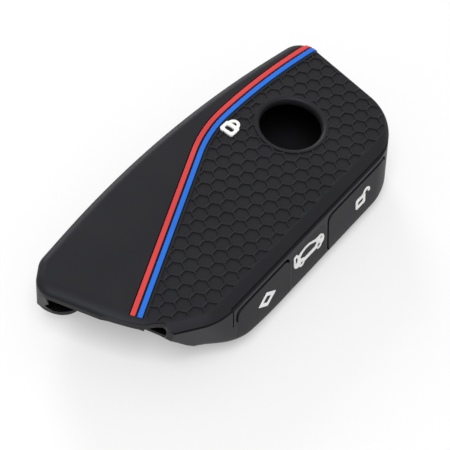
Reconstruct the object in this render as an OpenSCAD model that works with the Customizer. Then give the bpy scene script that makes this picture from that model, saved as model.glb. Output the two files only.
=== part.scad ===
// Soft silicone cover for a car key fob: an open sleeve with a honeycomb field,
// two colour stripes, a round window, and three pressing pads along one side.
// X runs across the cover with the pads at +X, Y runs to its closed far end,
// and Z runs up from the table. The origin is below the middle of the cover.

/* [Body] */
// Overall width across the belly
body_w = 40.4; // [35:0.2:44]
// Overall length
body_l = 88.8; // [80:0.5:98]
// Overall height
body_h = 17.3; // [15:0.1:19]
// Thickness of the side walls
wall_t = 1.4; // [1.2:0.1:1.8]
// Thickness of the top skin
roof_t = 1.6; // [1.4:0.1:2]
// Thickness of the bottom skin
floor_t = 1.4; // [1:0.1:2]

/* [Edges] */
// Height of the rounded or bevelled band below the top face
band_drop = 1.3; // [1:0.1:2.2]
// Width of the band along the pads
side_band_w = 2.9; // [2:0.1:4]
// Width of the band along the slanted corner
slant_band_w = 2.4; // [1.4:0.1:3]
// Width of the band at the open end
mouth_band_w = 2.7; // [2:0.1:3.6]
// Width of the rounded edge at the closed end and on the plain side
round_edge_w = 1.9; // [1.2:0.1:3]
// Angle at which the band leaves the top face along the slanted corner
slant_band_angle = 38; // [10:1:60]
// Angle at which the band leaves the top face at the open end
mouth_band_angle = 12; // [0:1:40]
// How flat the bands along the pads and the slanted corner are, from 0 for round to 1
band_flat_share = 0.8; // [0:0.05:1]
// How far the side wall leans out from the band to the belly
side_lean = 2.1; // [0.8:0.05:2.4]
// How far the wall under the slanted corner is drawn in from its band
slant_tuck = 1.2; // [0:0.1:1.6]
// The same at the open end and its plain corner
heel_tuck = 0.2; // [0:0.1:1.6]
// Lean of the other walls
wall_lean = 0.3; // [0:0.05:0.8]
// Height of the belly above the table
belly_z = 4.5; // [4:0.1:7]
// Width of the rounded foot under the side walls
foot_w = 3.6; // [3:0.1:5]
// Width of the rounded foot under the slanted corner
slant_foot_w = 3.8; // [3:0.1:6]
// Width of the rounded foot under the open end
mouth_foot_w = 5.4; // [3:0.1:6]
// Radius of the bow of the plain side
bow_r = 240; // [180:5:320]
// Radius of the closed end's corner by the pads
far_corner_r = 12; // [10:0.5:16]
// Radius of the belly below that corner
far_belly_r = 15; // [11:0.5:17]
// Radius of the closed end's corner by the stripes
stripe_corner_r = 5.2; // [2:0.2:6]
// Radius of the open end's plain corner
mouth_corner_r = 3.8; // [2.4:0.2:5]
// Radius where that corner meets the plain side
heel_corner_r = 4.8; // [3:0.2:7]
// Radius of the corner between the pads and the slanted corner
slant_corner_r = 4; // [2.5:0.2:6]
// Radius of the belly below that corner
slant_belly_r = 15; // [8:0.5:18]
// Radius of the top face where the slanted corner meets the open end
tongue_corner_r = 8; // [5:0.5:10]

/* [Open end] */
// How far the lower lip stands above the table
lip_lift = 5.4; // [4:0.2:7]
// Length of the rise of the underside up to the lower lip
ramp_l = 20; // [20:1:32]
// How far the top skin reaches past the lower lip
overhang = 7.6; // [5:0.2:8]
// Angle by which the lower lip runs out towards the slanted corner
lip_angle = 1.5; // [0:0.5:10]
// Depth of the top skin's lower edge below the top face
tongue_h = 2.4; // [2:0.1:3]
// Radius of the tab of the lower lip that stands out at the plain corner
tab_r = 5; // [3.6:0.1:5.2]
// Place of the tab's middle along the open end
tab_x = 2.2; // [1.4:0.1:3.4]
// Depth of the cut beside the tongue where a key ring comes out
notch_l = 2.95; // [2:0.05:4]

/* [Honeycomb] */
// Distance between neighbouring cells
cell_pitch = 3.2; // [2.6:0.1:4]
// Width of the raised ridge between cells
ridge_w = 0.42; // [0.3:0.02:0.7]
// Depth of a cell
cell_depth = 0.3; // [0.2:0.05:0.35]
// Width of the smooth strip between the stripes and the cells
stripe_border_w = 0.7; // [0.4:0.1:1.2]

/* [Window] */
// Radius of the round window
window_r = 6.75; // [5:0.05:8]
// Place of the window across the cover
window_x = -1.3; // [-3:0.1:2]
// Place of the window along the cover
window_y = 22.4; // [18:0.5:27]
// Width of the smooth collar round the window
collar_w = 1.3; // [0.8:0.1:1.8]
// Radius of the window's rounded edge
window_edge_r = 1; // [0.3:0.05:1.1]

/* [Stripes] */
// Width of each colour stripe
stripe_w = 1.15; // [0.8:0.05:1.5]
// Gap between the stripes
stripe_gap = 0.3; // [0.2:0.05:0.6]
// How deep a stripe is set into the top skin
stripe_set = 0.5; // [0.3:0.05:0.7]
// How far a stripe stands proud
stripe_proud = 0.15; // [0.05:0.05:0.25]
// Angle of the slanted run of the stripes
stripe_angle = 22.5; // [15:0.5:28]
// Radius of the bend of the stripes
stripe_bend_r = 33; // [20:1:36]
// Radius of the bow of the stripes' far run
stripe_bow_r = 155; // [130:5:240]
// Place across the cover where the stripes' bow is widest
stripe_x = -13.8; // [-15:0.1:-12]
// Place along the cover where the bow turns into the bend
stripe_y = 15; // [10:0.5:18]
// How far the stripes run past the bend
stripe_run_l = 42.8; // [36:0.2:46]

/* [Pads] */
// Height of the pads
pad_h = 10.1; // [9:0.1:10.2]
// Height of the pads' lower edge above the table
pad_z = 3.8; // [3.6:0.1:4.2]
// How far the row of pads starts before the side wall's near corner
pads_near = 0.1; // [0:0.1:1.4]
// How far the row of pads ends before the side wall's far corner
pads_far = 8.1; // [6:0.1:11]
// Length of the locating pad
locate_pad_l = 17.2; // [14:0.2:20]
// Length of the boot pad
boot_pad_l = 11.5; // [11.2:0.1:13]
// Width of the wall between the locating pad and the boot pad
locate_bar_w = 1.1; // [1:0.1:2]
// Width of the wall between the boot pad and the unlocking pad
unlock_bar_w = 1.6; // [1.5:0.1:2.5]
// Corner radius of the pads
pad_corner_r = 1.6; // [1:0.1:2.5]
// Gap round a pad
pad_clear = 0.15; // [0.1:0.05:0.2]
// Width of the open groove above the outer pads
groove_h = 1; // [0.4:0.1:1.2]
// Width of the open groove at the outer pads' near ends
groove_w = 0.7; // [0.4:0.1:0.8]
// How far the groove reaches down at the locating pad's near end
locate_groove_l = 2.9; // [2:0.1:6]
// How far the thin skirt reaches behind the wall round each pad
skirt_w = 0.3; // [0.2:0.05:0.3]
// Thickness of the skirt
skirt_t = 0.5; // [0.3:0.05:0.8]
// Width of the groove below the band along the pads
line_w = 0.6; // [0.3:0.05:0.7]
// Depth of that groove
line_depth = 0.45; // [0.2:0.05:0.6]
// Width of the thin line below the band along the slanted corner
thin_line_w = 0.3; // [0.2:0.05:0.5]
// Distance between the pads and the line's short upright end
line_side_w = 1.6; // [1.2:0.1:2]
// Height of the line's short upright end
line_end_h = 5; // [3:0.1:6]

/* [Signs] */
// How far a sign stands proud
sign_proud = 0.15; // [0.1:0.05:0.3]
// How deep a sign is set in
sign_set = 0.4; // [0.3:0.05:0.6]
// Width of a padlock's body
padlock_w = 3.5; // [2.8:0.1:4]
// Height of a padlock's body
padlock_h = 2.9; // [2.4:0.1:3.2]
// Width of a padlock's shackle
shackle_w = 2.7; // [2.2:0.1:2.8]
// Height of the shackle above the body
shackle_h = 1.4; // [1.3:0.05:1.6]
// Thickness of the shackle
shackle_t = 0.72; // [0.5:0.02:0.8]
// Angle by which the open shackle hangs over
shackle_open_angle = 14; // [0:1:30]
// Length of the car sign
car_l = 10.7; // [8:0.1:10.8]
// Height of the car sign from its wheels to its lid
car_h = 4.9; // [3.8:0.1:5.2]
// Radius of the car sign's wheels
wheel_r = 0.95; // [0.7:0.05:1.1]
// Length of the rhombus sign
rhombus_l = 5.9; // [4.4:0.1:7]
// Height of the rhombus sign
rhombus_h = 4.2; // [3.4:0.1:5]
// Place of the closed padlock across the cover
lock_x = -10.2; // [-10.6:0.1:-9]
// Place of the closed padlock's lower edge along the cover
lock_y = 10.8; // [8:0.1:12]
// Distance of the rhombus from its pad's near end
locate_sign_in = 9.4; // [7:0.1:11]
// Height of the rhombus's middle above the table
locate_sign_z = 9.4; // [8.4:0.1:10]
// Height of the car's wheels above the table
boot_sign_z = 8.4; // [7:0.1:8.6]
// Distance of the open padlock from its pad's near end
unlock_sign_in = 11.6; // [9:0.1:13]
// Height of the open padlock's lower edge above the table
unlock_sign_z = 7.7; // [6.4:0.1:8.4]

/* [Hidden] */
$fn = 64;

silicone = [0.12, 0.12, 0.13];
pad_grey = [0.17, 0.17, 0.18];
red = [0.87, 0.26, 0.24];
blue = [0.08, 0.45, 0.86];
white = [0.93, 0.93, 0.92];

// How far a cut runs past the body
over = 2;
// Gap between an inlay and its seat
inlay_clear = 0.02;
// Gap between a skirt and the wall's inner face
skirt_gap = 0.05;
// Room for the pads behind their skirts
side_room = 1.2;
// Smallest radius of a corner that an inset eats up
least_r_share = 0.25;

// Corners of the belly's outline, counted from the open end's plain corner, as
// shares of half the width and half the length. Edge i runs from corner i.
corner_shares = [[-0.679, -1.012], [0.464, -0.856], [1.004, -0.486], [1.004, 0.887],
                 [-0.728, 1.017], [-1.102, 0.064], [-0.892, -0.868]];
sides = len(corner_shares);
belly_r = [mouth_corner_r, slant_corner_r, slant_belly_r, far_belly_r, stripe_corner_r, bow_r,
           heel_corner_r];
crown_r = [mouth_corner_r, tongue_corner_r, slant_corner_r, far_corner_r,
           stripe_corner_r, bow_r, heel_corner_r];
band_w = [mouth_band_w, slant_band_w, side_band_w, round_edge_w, round_edge_w, round_edge_w,
          round_edge_w];
band_angle = [mouth_band_angle, slant_band_angle, 0, 0, 0, 0, 0];
flat_shares = [0, band_flat_share, band_flat_share, 0, 0, 0, 0];
lean = [-heel_tuck, -slant_tuck, side_lean, wall_lean, wall_lean, wall_lean, -heel_tuck];
foot = [mouth_foot_w, slant_foot_w, foot_w, foot_w, foot_w, foot_w, foot_w];
// The base is drawn together towards a line along the middle of the cover
core_share = 0.8;
spine_l = body_l / 2 - body_w / 2;

// Points on each corner's arc and between the arcs, and rings of each stretch
arc_steps = [5, 3, 5, 9, 4, 9, 3];
edge_steps = [2, 3, 6, 0, 0, 1, 0];
band_rings = 5;
foot_rings = 3;
core_rings = 2;
rings = band_rings + 1 + foot_rings + core_rings;

function unit(v) = v / norm(v);
function left_of(v) = [-v[1], v[0]];
function turned(v, a) = [v[0] * cos(a) - v[1] * sin(a), v[0] * sin(a) + v[1] * cos(a)];
function mix(a, b, t) = a + (b - a) * t;
function meet(p, u, q, v) = p + u * cross(q - p, v) / cross(u, v);
function before(i) = (i + sides - 1) % sides;
function after(i) = (i + 1) % sides;

raw_corners = [for (c = corner_shares) [c[0] * body_w / 2, c[1] * body_l / 2]];
function run_dir(e) = unit(raw_corners[after(e)] - raw_corners[e]);
function inset_corner(i, insets) = let (p = before(i), u = run_dir(p), v = run_dir(i))
    meet(raw_corners[i] + left_of(u) * insets[p], u, raw_corners[i] + left_of(v) * insets[i], v);
function turn_at(i) = let (u = run_dir(before(i)), v = run_dir(i)) atan2(cross(u, v), u * v);
// Point of a corner's arc, from 0 at its start to 1 at its end
function arc_point(i, insets, r, t) =
    let (u = run_dir(before(i)), start = inset_corner(i, insets) - u * r * tan(turn_at(i) / 2))
    start + left_of(u) * r - turned(left_of(u), turn_at(i) * t) * r;
function inset_r(i, base_r, insets) =
    max(base_r - (insets[before(i)] + insets[i]) / 2, least_r_share * base_r);
// One closed ring of points in plan, each with its share between two edges
function ring_plan(insets, r) = [
    for (i = [0:sides - 1]) each concat(
        [for (n = [0:arc_steps[i]]) let (t = n / arc_steps[i])
            [arc_point(i, insets, r[i], t), before(i), i, t]],
        [for (n = [1:edge_steps[i]]) let (t = n / (edge_steps[i] + 1))
            [mix(arc_point(i, insets, r[i], 1), arc_point(after(i), insets, r[after(i)], 0), t),
             i, i, 0]])];

// The middle of the widest rings, so that the cover stands centred on the origin
belly_ring = [for (k = [band_rings - 1, band_rings]) each
    [for (p = ring_plan([for (e = [0:sides - 1]) wall_at(e, k)[0]], belly_r)) p[0]]];
belly_min = [min([for (p = belly_ring) p[0]]), min([for (p = belly_ring) p[1]])];
belly_max = [max([for (p = belly_ring) p[0]]), max([for (p = belly_ring) p[1]])];
centre = (belly_min + belly_max) / 2;
corners = [for (c = raw_corners) c - centre];

// The open end's own frame: origin at the plain corner, X along the edge
mouth_dir = run_dir(0);
mouth_turn = atan2(mouth_dir[1], mouth_dir[0]);
mouth_l = norm(corners[1] - corners[0]);
function from_mouth(p) = (p - corners[0]) * left_of(mouth_dir);

// Inset and depth of an edge's wall at one ring
function band_at(e, k) =
    let (a = band_angle[e], share = k / (band_rings - 1), t = mix(a, 90, share),
         in = mix((sin(t) - sin(a)) / (1 - sin(a)), share, flat_shares[e]),
         down = mix((cos(a) - cos(t)) / cos(a), share, flat_shares[e]))
    [lean[e] + band_w[e] * (1 - in), band_drop * down];
function foot_at(e, n) =
    let (t = 90 * n / foot_rings)
    [foot[e] * (1 - cos(t)), body_h - belly_z + belly_z * sin(t)];
function wall_at(e, k) = k < band_rings ? band_at(e, k) : foot_at(e, k - band_rings);
function core_point(p, t) = mix(p, [0, min(max(p[1], -spine_l), spine_l)], t);

// The underside rises towards the lower lip, and what lies above the ceiling stays
ceiling = max(band_drop, roof_t);
function rise(p) =
    let (t = (overhang + ramp_l - from_mouth(p)) / ramp_l)
    lip_lift * pow(min(max(t, 0), 1), 2);
function raised(p, depth) =
    depth <= ceiling ? depth : depth - rise(p) * (depth - ceiling) / (body_h - ceiling);
// Depth as it becomes inside the skins
function inner_depth(depth, roof, floor) = roof + depth * (body_h - roof - floor) / body_h;

function ring_points(k, gap, roof, floor) =
    let (m = min(k, band_rings + foot_rings),
         walls = [for (e = [0:sides - 1]) wall_at(e, m)],
         insets = [for (w = walls) w[0] + gap],
         base_r = m < band_rings ? mix(crown_r, belly_r, m / (band_rings - 1)) : belly_r,
         r = [for (i = [0:sides - 1]) inset_r(i, base_r[i], insets)])
    [for (p = ring_plan(insets, r))
        let (q = core_point(p[0] - centre, core_share * (k - m) / core_rings),
             depth = inner_depth(mix(walls[p[1]][1], walls[p[2]][1], p[3]), roof, floor))
        [q[0], q[1], body_h - raised(q, depth)]];

// The cover's outer form, drawn in by a gap at the sides, the top and the bottom
module form(gap, roof, floor) {
    stack = [for (k = [0:rings - 1]) ring_points(k, gap, roof, floor)];
    n = len(stack[0]);
    sides = [for (k = [0:rings - 2], i = [0:n - 1])
        let (j = (i + 1) % n, a = k * n + i, b = k * n + j)
        each [[a, b, b + n], [a, b + n, a + n]]];
    // The base is closed by a zigzag that starts at the open end's plain corner
    seam = round(arc_steps[0] / 2);
    zigzag = [for (i = [0:n - 1])
        (rings - 1) * n + (i % 2 == 0 ? seam - i / 2 + n : seam + (i + 1) / 2) % n];
    base = [for (i = [0:n - 3]) i % 2 == 0 ? [zigzag[i], zigzag[i + 1], zigzag[i + 2]]
        : [zigzag[i + 1], zigzag[i], zigzag[i + 2]]];
    polyhedron(points = [for (s = stack) each s],
               faces = concat([[for (i = [n - 1:-1:0]) i]], sides, base));
}

// A layer of the cover's skin between two depths below its outer face
module skin(out, in) {
    difference() {
        form(out, out, out);
        form(in, in, in);
    }
}

module at_mouth() {
    translate([corners[0][0], corners[0][1], 0]) rotate(mouth_turn) children();
}

// Runs a side view's outline along the open end from a place on it, turned outwards.
// In the outline X is the way in from the open end's edge and Y the depth.
module along_mouth(start, turn, outline) {
    translate([start, 0, 0]) rotate(-turn) rotate([90, 0, 90])
        linear_extrude(body_w) polygon([for (p = outline) [p[0], body_h - p[1]]]);
}

// Cuts the open end away: the opening below the top skin, and the notch.
// At the plain corner the side wall runs down to a round tab of the lower lip.
module open_end() {
    lip_depth = body_h - lip_lift - floor_t;
    deep = body_h + over;
    tab_y = overhang - tab_r;
    at_mouth() {
        difference() {
            union() {
                along_mouth(-over, 0, [[-over, tongue_h], [-over, deep], [tab_y, deep],
                                       [tab_y, lip_depth], [0, tongue_h]]);
                along_mouth(tab_x, lip_angle, [[-over, tongue_h], [-over, deep],
                    [overhang, deep], [overhang, lip_depth], [wall_t, tongue_h]]);
            }
            translate([tab_x, overhang, -over]) cylinder(r = tab_r, h = body_h - lip_depth + over);
        }
        translate([0, 0, -over]) linear_extrude(body_h + 2 * over) notch_outline();
    }
}

// Outline of the cut beside the tongue, from the slanted corner to the straight edge
notch_shares = [[1.3, -1], [1.3, 0.5], [1.11, 0.8], [1.09, 0.96], [1.065, 1], [1.04, 0.92],
                [1.01, 0.8], [0.975, 0.61], [0.95, 0.44], [0.92, 0.3], [0.88, 0.2],
                [0.82, 0.11], [0.78, -0.1], [0.77, -1]];
module notch_outline() {
    polygon([for (s = notch_shares) [s[0] * mouth_l, s[1] * notch_l]]);
}

// Line of the stripes' middle, from the closed end to the open end
bow_l = body_l / 2 + over - stripe_y;
bow_sweep = asin(bow_l / stripe_bow_r);
bend_steps = 12;
function stripe_line(off) = concat(
    [for (n = [0:bend_steps]) let (a = bow_sweep * (1 - n / bend_steps))
        [stripe_x + stripe_bow_r - (stripe_bow_r - off) * cos(a),
         stripe_y + (stripe_bow_r - off) * sin(a)]],
    [for (n = [1:bend_steps]) let (a = stripe_angle * n / bend_steps)
        [stripe_x + stripe_bend_r - (stripe_bend_r - off) * cos(a),
         stripe_y - (stripe_bend_r - off) * sin(a)]],
    [let (a = stripe_angle, r = stripe_bend_r)
        [stripe_x + r - (r - off) * cos(a) + stripe_run_l * sin(a),
         stripe_y - (r - off) * sin(a) - stripe_run_l * cos(a)]]);
function reversed(list) = [for (i = [len(list) - 1:-1:0]) list[i]];
module stripe_plan(from, to) {
    polygon(concat(stripe_line(from), reversed(stripe_line(to))));
}
red_from = -stripe_w - stripe_gap / 2;
blue_from = stripe_gap / 2;

module stripe(from) {
    intersection() {
        skin(-stripe_proud, stripe_set);
        stripe_room() stripe_plan(from, from + stripe_w);
    }
}
// The room above the belly where the stripes run
module stripe_room() {
    translate([0, 0, body_h / 2]) linear_extrude(body_h) children();
}
module stripe_seats() {
    difference() {
        stripe_room() {
            stripe_plan(red_from - inlay_clear, red_from + stripe_w + inlay_clear);
            stripe_plan(blue_from - inlay_clear, blue_from + stripe_w + inlay_clear);
        }
        form(stripe_set + inlay_clear, stripe_set + inlay_clear, stripe_set + inlay_clear);
    }
}

// Place of the first cell, level with the window's middle line
cell_x = 0.56;
cell_y = 4.45;
row_pitch = cell_pitch * sin(60);
module cells() {
    cell_r = (cell_pitch - ridge_w) / 2 / cos(30);
    rows = ceil(body_l / row_pitch / 2);
    columns = ceil(body_w / cell_pitch / 2);
    for (j = [-rows:rows], i = [-columns:columns])
        translate([cell_x + (i + (abs(j) % 2) / 2) * cell_pitch, cell_y + j * row_pitch])
            rotate(30) circle(cell_r, $fn = 6);
}
// The field inside the bands, right of the stripes and clear of the window and sign
module field() {
    crown = [for (p = ring_points(0, 0, 0, 0)) [p[0], p[1]]];
    border = blue_from + stripe_w + stripe_border_w;
    difference() {
        intersection() {
            polygon(crown);
            stripe_plan(border, body_w);
        }
        translate([window_x, window_y]) circle(window_r + collar_w);
        translate(lock_place) closed_padlock();
    }
}
module honeycomb() {
    translate([0, 0, body_h - cell_depth]) linear_extrude(cell_depth + over) intersection() {
        field();
        cells();
    }
}

module window() {
    translate([window_x, window_y, 0]) {
        translate([0, 0, body_h / 2]) cylinder(r = window_r, h = body_h);
        translate([0, 0, body_h - window_edge_r]) rotate_extrude() difference() {
            square([window_r + window_edge_r, window_edge_r + over]);
            translate([window_r + window_edge_r, 0]) circle(window_edge_r);
        }
    }
}

// The row of pads lies between the side wall's corners: each pad's start and length
locate_y = corners[2][1] - pads_near;
boot_y = locate_y + locate_pad_l + locate_bar_w;
unlock_y = boot_y + boot_pad_l + unlock_bar_w;
unlock_pad_l = corners[3][1] - pads_far - unlock_y;
pad_top = pad_z + pad_h;

// The groove below the band, which runs on as a thin line round the slanted corner
// and has a short upright end beside the pads
module pad_line() {
    line_y = locate_y - line_side_w;
    line_z = body_h - band_drop;
    far_y = corners[3][1] - far_corner_r / 2;
    slant = corners[2] - corners[1];
    difference() {
        union() {
            translate([0, line_y, line_z - line_w / 2]) cube([body_w, far_y - line_y, line_w]);
            translate([0, line_y, line_z - line_end_h]) cube([body_w, thin_line_w, line_end_h]);
            translate([corners[1][0], corners[1][1], line_z - thin_line_w / 2])
                rotate(atan2(slant[1], slant[0])) translate([slant_corner_r, -slant_corner_r, 0])
                    cube([norm(slant) - slant_corner_r, 2 * slant_corner_r, thin_line_w]);
        }
        form(line_depth, line_depth, line_depth);
    }
}

// Outline of a pad in the side wall, grown by a gap
module pad_outline(y, l, grow) {
    translate([y + l / 2, pad_z - grow])
        rounded(l + 2 * grow, pad_h + 2 * grow, pad_corner_r + grow);
}
// Outline of a pad's hole. An outer pad's hole is wider above the pad and at its near
// end, which leaves an open groove that reaches down to a height.
module hole_outline(y, l, grow, low) {
    pad_outline(y, l, pad_clear + grow);
    w = l + pad_clear + groove_w + 2 * grow;
    if (low < pad_top)
        translate([y + (l + pad_clear - groove_w) / 2, low - grow])
            rounded(w, pad_top + groove_h - low + 2 * grow, pad_corner_r + grow);
}
// Stands an outline in the side wall: its X runs along the cover, its Y up. It reaches
// in just past the skirts, so that it stays clear of the bottom skin.
module in_side() {
    reach = side_lean + wall_t + skirt_t + side_room;
    translate([corners[2][0] - reach, 0, 0]) rotate([90, 0, 90])
        linear_extrude(reach + over) children();
}
// A pad fills its hole in the wall, and its thin skirt lies just behind the wall
module pad(y, l, low) {
    near = wall_t + skirt_gap;
    difference() {
        intersection() {
            form(0, 0, 0);
            in_side() hole_outline(y, l, skirt_w, low);
        }
        form(near + skirt_t, roof_t, floor_t);
        difference() {
            in_side() difference() {
                pad_outline(y, l, pad_corner_r + over);
                pad_outline(y, l, 0);
            }
            form(near, roof_t, floor_t);
        }
    }
}
locate_low = pad_top - locate_groove_l;
unlock_low = pad_z;
module pad_holes() {
    in_side() {
        hole_outline(locate_y, locate_pad_l, 0, locate_low);
        hole_outline(boot_y, boot_pad_l, 0, pad_top);
        hole_outline(unlock_y, unlock_pad_l, 0, unlock_low);
    }
}

// A rectangle with round corners that stands on its own lower edge
module rounded(w, h, r) {
    translate([-w / 2 + r, 0]) square([w - 2 * r, h]);
    translate([-w / 2, r]) square([w, h - 2 * r]);
    for (x = [-w / 2 + r, w / 2 - r], y = [r, h - r])
        translate([x, y]) circle(r);
}

// Shares of a padlock's body: its corner radius, and the hole's width, height and place
lock_shares = [0.16, 0.54, 0.27, 0.32];
lock_hole_r_share = 0.4;
shackle_sink_share = 0.25;
module shackle() {
    arch_y = shackle_h - shackle_w / 2;
    difference() {
        translate([0, arch_y]) circle(shackle_w / 2);
        translate([0, arch_y]) circle(shackle_w / 2 - shackle_t);
        translate([-shackle_w, -shackle_w]) square([2 * shackle_w, shackle_w]);
    }
}
module padlock_body() {
    hole_h = lock_shares[2] * padlock_h;
    difference() {
        rounded(padlock_w, padlock_h, lock_shares[0] * padlock_w);
        translate([0, lock_shares[3] * padlock_h])
            rounded(lock_shares[1] * padlock_w, hole_h, lock_hole_r_share * hole_h);
    }
}
module closed_padlock() {
    padlock_body();
    translate([0, padlock_h]) shackle();
}
// The open shackle stands on the body with one leg and hangs over its side
module open_padlock() {
    leg_x = (shackle_w - shackle_t) / 2;
    padlock_body();
    translate([padlock_w / 2 - leg_x / 2, padlock_h]) rotate(-shackle_open_angle)
        translate([leg_x, -shackle_sink_share * shackle_t]) shackle();
}

// The car seen from its side: outline, cabin, and the places of its wheels and lamp,
// as shares of its length and height
car_shares = [[0.04, 0.24], [0.12, 0.15], [0.93, 0.15], [0.98, 0.22], [1, 0.42], [0.97, 0.62],
              [0.9, 0.75], [0.71, 0.76], [0.6, 0.87], [0.5, 0.95], [0.38, 0.96], [0.26, 0.91],
              [0.16, 0.82], [0.1, 1], [0, 0.96], [0, 0.4]];
cabin_shares = [[0.32, 0.41], [0.68, 0.42], [0.68, 0.5], [0.58, 0.66], [0.48, 0.76],
                [0.37, 0.78], [0.27, 0.73], [0.21, 0.57]];
wheel_shares = [0.25, 0.83];
lamp_place_shares = [0.89, 0.46];
// Shares of a wheel's radius: the height and radius of its hub, and the lamp's radius
hub_share = 1.3;
hub_r_share = 0.25;
lamp_r_share = 0.32;
module car() {
    translate([-car_l / 2, 0]) difference() {
        union() {
            polygon([for (s = car_shares) [s[0] * car_l, s[1] * car_h]]);
            for (s = wheel_shares)
                translate([s * car_l, wheel_r]) circle(wheel_r);
        }
        polygon([for (s = cabin_shares) [s[0] * car_l, s[1] * car_h]]);
        for (s = wheel_shares)
            translate([s * car_l, hub_share * wheel_r]) circle(hub_r_share * wheel_r);
        translate([lamp_place_shares[0] * car_l, lamp_place_shares[1] * car_h])
            circle(lamp_r_share * wheel_r);
    }
}

// A ring with four corners
rhombus_hole_share = 0.42;
module rhombus() {
    outline = [[-rhombus_l / 2, 0], [0, -rhombus_h / 2], [rhombus_l / 2, 0], [0, rhombus_h / 2]];
    difference() {
        polygon(outline);
        polygon(outline * rhombus_hole_share);
    }
}

// Lays a sign on the top face or on the side wall's slope, from one depth to another
wall_turn = atan(side_lean / (body_h - band_drop - belly_z));
module on_top(place, deep, proud) {
    translate([place[0], place[1], body_h - deep]) linear_extrude(deep + proud) children();
}
module on_side(place, deep, proud) {
    translate([corners[2][0], 0, belly_z]) rotate([0, -wall_turn, 0]) rotate([90, 0, 90])
        translate([place[0], place[1] - belly_z, -deep]) linear_extrude(deep + proud) children();
}
seat_depth = sign_set + inlay_clear;
lock_place = [lock_x, lock_y];
locate_place = [locate_y + locate_sign_in, locate_sign_z];
boot_place = [boot_y + boot_pad_l / 2, boot_sign_z];
unlock_place = [unlock_y + unlock_sign_in, unlock_sign_z];

module sleeve() {
    color(silicone) difference() {
        form(0, 0, 0);
        form(wall_t, roof_t, floor_t);
        open_end();
        stripe_seats();
        honeycomb();
        window();
        pad_line();
        pad_holes();
        on_top(lock_place, seat_depth, over) offset(delta = inlay_clear) closed_padlock();
    }
}
module red_stripe() {
    color(red) stripe(red_from);
}
module blue_stripe() {
    color(blue) stripe(blue_from);
}
module lock_sign() {
    color(white) on_top(lock_place, sign_set, sign_proud) closed_padlock();
}
module locate_pad() {
    color(pad_grey) difference() {
        pad(locate_y, locate_pad_l, locate_low);
        on_side(locate_place, seat_depth, over) offset(delta = inlay_clear) rhombus();
    }
}
module locate_sign() {
    color(white) on_side(locate_place, sign_set, sign_proud) rhombus();
}
module boot_pad() {
    color(pad_grey) difference() {
        pad(boot_y, boot_pad_l, pad_top);
        on_side(boot_place, seat_depth, over) offset(delta = inlay_clear) car();
    }
}
module boot_sign() {
    color(white) on_side(boot_place, sign_set, sign_proud) car();
}
module unlock_pad() {
    color(pad_grey) difference() {
        pad(unlock_y, unlock_pad_l, unlock_low);
        on_side(unlock_place, seat_depth, over) offset(delta = inlay_clear) open_padlock();
    }
}
module unlock_sign() {
    color(white) on_side(unlock_place, sign_set, sign_proud) open_padlock();
}

sleeve();
red_stripe();
blue_stripe();
lock_sign();
locate_pad();
locate_sign();
boot_pad();
boot_sign();
unlock_pad();
unlock_sign();
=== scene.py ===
"""Dresses the key fob cover: a soft black skin with a honeycomb field, a round window,
two colour stripes, pressing pads and their signs, on a plain pale floor.

Shapes are built in millimetres in the part's own frame and turned into metres when a
piece is finished. X runs across the cover with the pads at +X, Y runs to its closed far
end, and Z runs up from the floor."""
from math import asin, atan, atan2, ceil, cos, pi, radians, sin, tan

import bmesh
import bpy
from mathutils import Matrix, Vector


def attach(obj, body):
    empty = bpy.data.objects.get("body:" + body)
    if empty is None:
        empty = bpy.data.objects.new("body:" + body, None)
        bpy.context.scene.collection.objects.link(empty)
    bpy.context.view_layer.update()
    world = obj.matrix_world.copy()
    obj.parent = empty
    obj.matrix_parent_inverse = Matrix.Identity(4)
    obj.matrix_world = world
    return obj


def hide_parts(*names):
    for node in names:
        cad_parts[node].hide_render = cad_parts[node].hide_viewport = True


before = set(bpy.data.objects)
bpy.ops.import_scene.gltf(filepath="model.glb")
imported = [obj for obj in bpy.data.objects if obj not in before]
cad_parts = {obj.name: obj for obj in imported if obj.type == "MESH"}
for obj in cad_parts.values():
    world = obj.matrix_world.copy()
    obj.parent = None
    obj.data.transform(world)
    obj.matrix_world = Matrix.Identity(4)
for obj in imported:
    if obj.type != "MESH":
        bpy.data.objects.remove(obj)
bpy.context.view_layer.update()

MM = 0.001

# Body, as in the part's source
BODY_W = 40.4
BODY_L = 88.8
BODY_H = 17.3
WALL_T = 1.4
ROOF_T = 1.6
FLOOR_T = 1.4
BAND_DROP = 1.3
SIDE_BAND_W = 2.9
SLANT_BAND_W = 2.4
MOUTH_BAND_W = 2.7
ROUND_EDGE_W = 1.9
SLANT_BAND_ANGLE = radians(38)
MOUTH_BAND_ANGLE = radians(12)
BAND_FLAT = 0.8
SIDE_LEAN = 2.1
SLANT_TUCK = 1.2
HEEL_TUCK = 0.2
WALL_LEAN = 0.3
BELLY_Z = 4.5
FOOT_W = 3.6
SLANT_FOOT_W = 3.8
MOUTH_FOOT_W = 5.4
BOW_R = 240
FAR_CORNER_R = 12
FAR_BELLY_R = 15
STRIPE_CORNER_R = 5.2
MOUTH_CORNER_R = 3.8
HEEL_CORNER_R = 4.8
SLANT_CORNER_R = 4
SLANT_BELLY_R = 15
TONGUE_CORNER_R = 8

# Open end
LIP_LIFT = 5.4
RAMP_L = 20
OVERHANG = 7.6
LIP_ANGLE = radians(1.5)
TONGUE_H = 2.4
TAB_R = 5.0
TAB_X = 2.2
NOTCH_L = 2.95
# The notch's outline, in shares of the open end's length and of the notch's depth
NOTCH_SHARES = [(1.3, -1), (1.3, 0.5), (1.11, 0.8), (1.09, 0.96), (1.065, 1), (1.04, 0.92),
                (1.01, 0.8), (0.975, 0.61), (0.95, 0.46), (0.91, 0.34), (0.86, 0.25),
                (0.79, 0.17), (0.71, 0.1), (0.63, 0.04), (0.55, -0.1), (0.54, -1)]

# Honeycomb and window
CELL_PITCH = 3.2
RIDGE_W = 0.42
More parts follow.
